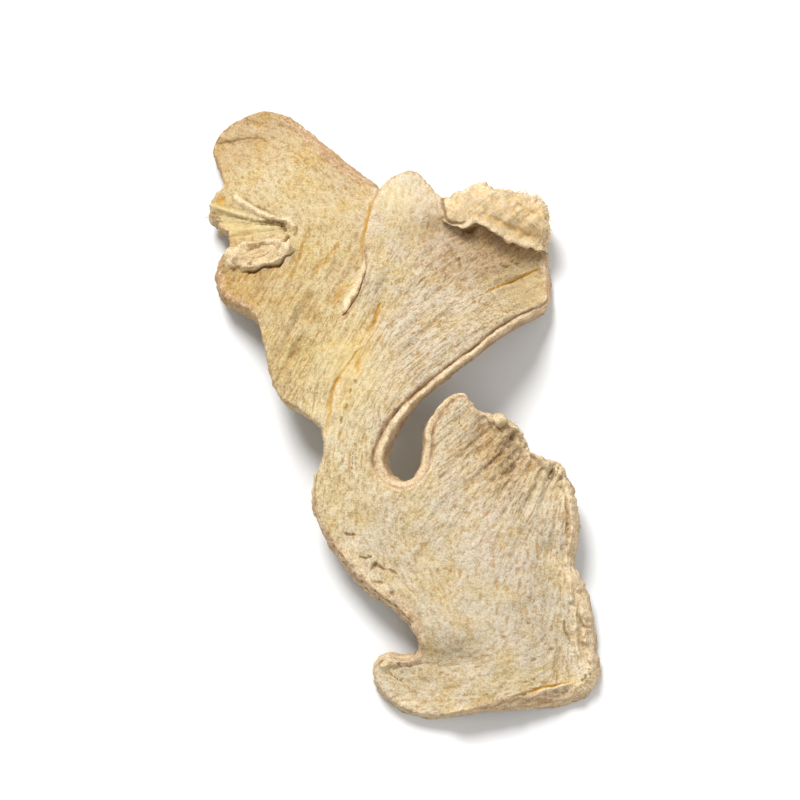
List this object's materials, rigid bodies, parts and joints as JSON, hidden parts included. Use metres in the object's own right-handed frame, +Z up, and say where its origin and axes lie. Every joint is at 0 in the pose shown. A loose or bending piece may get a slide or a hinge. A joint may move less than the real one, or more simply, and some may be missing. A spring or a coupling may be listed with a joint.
{
  "type": "dried ginger slice",
  "caption": "Thin dried slice of branching ginger root, curled into a low dome, with fingers that fork from a broad body around a deep bay.",
  "frame": {"origin": "centre of the slice's box, on the surface that it lies on", "axes": "+Y along the slice from the foot to the finger tips, +X to the right, +Z up out of the cut face"},
  "size_m": [0.0506, 0.0824, 0.0126],
  "materials": {
    "dried_flesh": "matte, dry and fibrous cream flesh with a pale brown skin round the rim"
  },
  "bodies": {
    "root": {"ginger_slice": "dried_flesh"}
  },
  "joints": []
}
